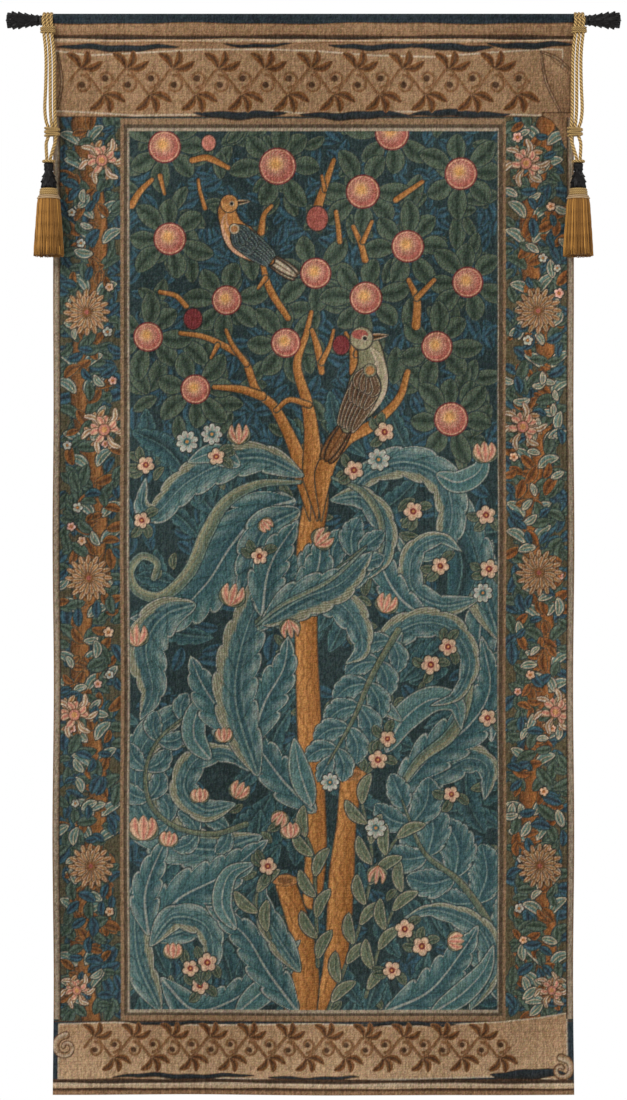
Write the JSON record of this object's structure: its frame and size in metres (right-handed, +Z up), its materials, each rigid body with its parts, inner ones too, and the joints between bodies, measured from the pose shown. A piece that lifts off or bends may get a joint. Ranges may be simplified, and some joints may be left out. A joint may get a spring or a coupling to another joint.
{
  "type": "tapestry wall hanging",
  "caption": "Tall woven wall hanging with a lined cloth panel, a rod through its back pocket, leaf finials, corded tassels and wall hooks.",
  "frame": {"origin": "on the wall plane, midway between the two wall hooks, level with the bar's axis", "axes": "+Z up, +X along the bar to the right as seen from the room, +Y into the wall, so the picture faces -Y"},
  "size_m": [0.825, 0.0741, 1.4504],
  "materials": {
    "woven_wool": "ribbed jacquard weave, matt",
    "lining_cotton": "plain weave, matt",
    "gold_rope": "twisted rayon cord, soft sheen",
    "gold_thread": "fine rayon threads, silky sheen",
    "black_resin": "carved, satin black",
    "black_iron": "powder-coated satin black",
    "steel_peg": "drawn steel",
    "beech_wood": "plain turned beech"
  },
  "bodies": {
    "wall_hooks": {"left_wall_hook": "black_iron", "right_wall_hook": "black_iron"},
    "bar": {"bar": "black_iron"},
    "panel": {"woven_cloth": "woven_wool", "lining": "lining_cotton", "left_rod_pocket": "lining_cotton", "centre_rod_pocket": "lining_cotton", "right_rod_pocket": "lining_cotton"},
    "left_finial": {"left_finial_peg": "steel_peg", "left_finial_ferrule": "black_iron", "left_finial": "black_resin"},
    "right_finial": {"right_finial_peg": "steel_peg", "right_finial_ferrule": "black_iron", "right_finial": "black_resin"},
    "left_hitch": {"left_hitch": "gold_rope"},
    "right_hitch": {"right_hitch": "gold_rope"},
    "left_tassel": {"left_hitch_band": "gold_rope", "left_outer_strand": "gold_rope", "left_middle_strand": "gold_rope", "left_inner_strand": "gold_rope", "left_knot": "gold_rope", "left_neck_ring": "gold_rope", "left_tassel_head": "black_resin", "left_tassel_collar": "gold_rope", "left_tassel_core": "beech_wood", "left_tassel_skirt": "gold_thread"},
    "right_tassel": {"right_hitch_band": "gold_rope", "right_outer_strand": "gold_rope", "right_middle_strand": "gold_rope", "right_inner_strand": "gold_rope", "right_knot": "gold_rope", "right_neck_ring": "gold_rope", "right_tassel_head": "black_resin", "right_tassel_collar": "gold_rope", "right_tassel_core": "beech_wood", "right_tassel_skirt": "gold_thread"}
  },
  "joints": [
    {"name": "bar_lift", "type": "slide", "parent": "wall_hooks", "child": "bar", "axis": [0, 0, 1], "range_m": [0, 0.02]},
    {"name": "panel_swing", "type": "hinge", "parent": "bar", "child": "panel", "pos_m": [0, -0.022, 0], "axis": [-1, 0, 0], "range_deg": [0, 60]},
    {"name": "left_finial_pull", "type": "slide", "parent": "bar", "child": "left_finial", "axis": [-1, 0, 0], "range_m": [0, 0.025]},
    {"name": "right_finial_pull", "type": "slide", "parent": "bar", "child": "right_finial", "axis": [1, 0, 0], "range_m": [0, 0.025]},
    {"name": "left_tassel_lift", "type": "hinge", "parent": "panel", "child": "left_hitch", "pos_m": [-0.3556, -0.022, 0], "axis": [-1, 0, 0], "range_deg": [0, 60]},
    {"name": "right_tassel_lift", "type": "hinge", "parent": "panel", "child": "right_hitch", "pos_m": [0.3556, -0.022, 0], "axis": [-1, 0, 0], "range_deg": [0, 60]},
    {"name": "left_tassel_sway", "type": "hinge", "parent": "left_hitch", "child": "left_tassel", "pos_m": [-0.3516, -0.0358, 0], "axis": [0, 1, 0], "range_deg": [-20, 20]},
    {"name": "right_tassel_sway", "type": "hinge", "parent": "right_hitch", "child": "right_tassel", "pos_m": [0.3516, -0.0358, 0], "axis": [0, 1, 0], "range_deg": [-20, 20]}
  ]
}
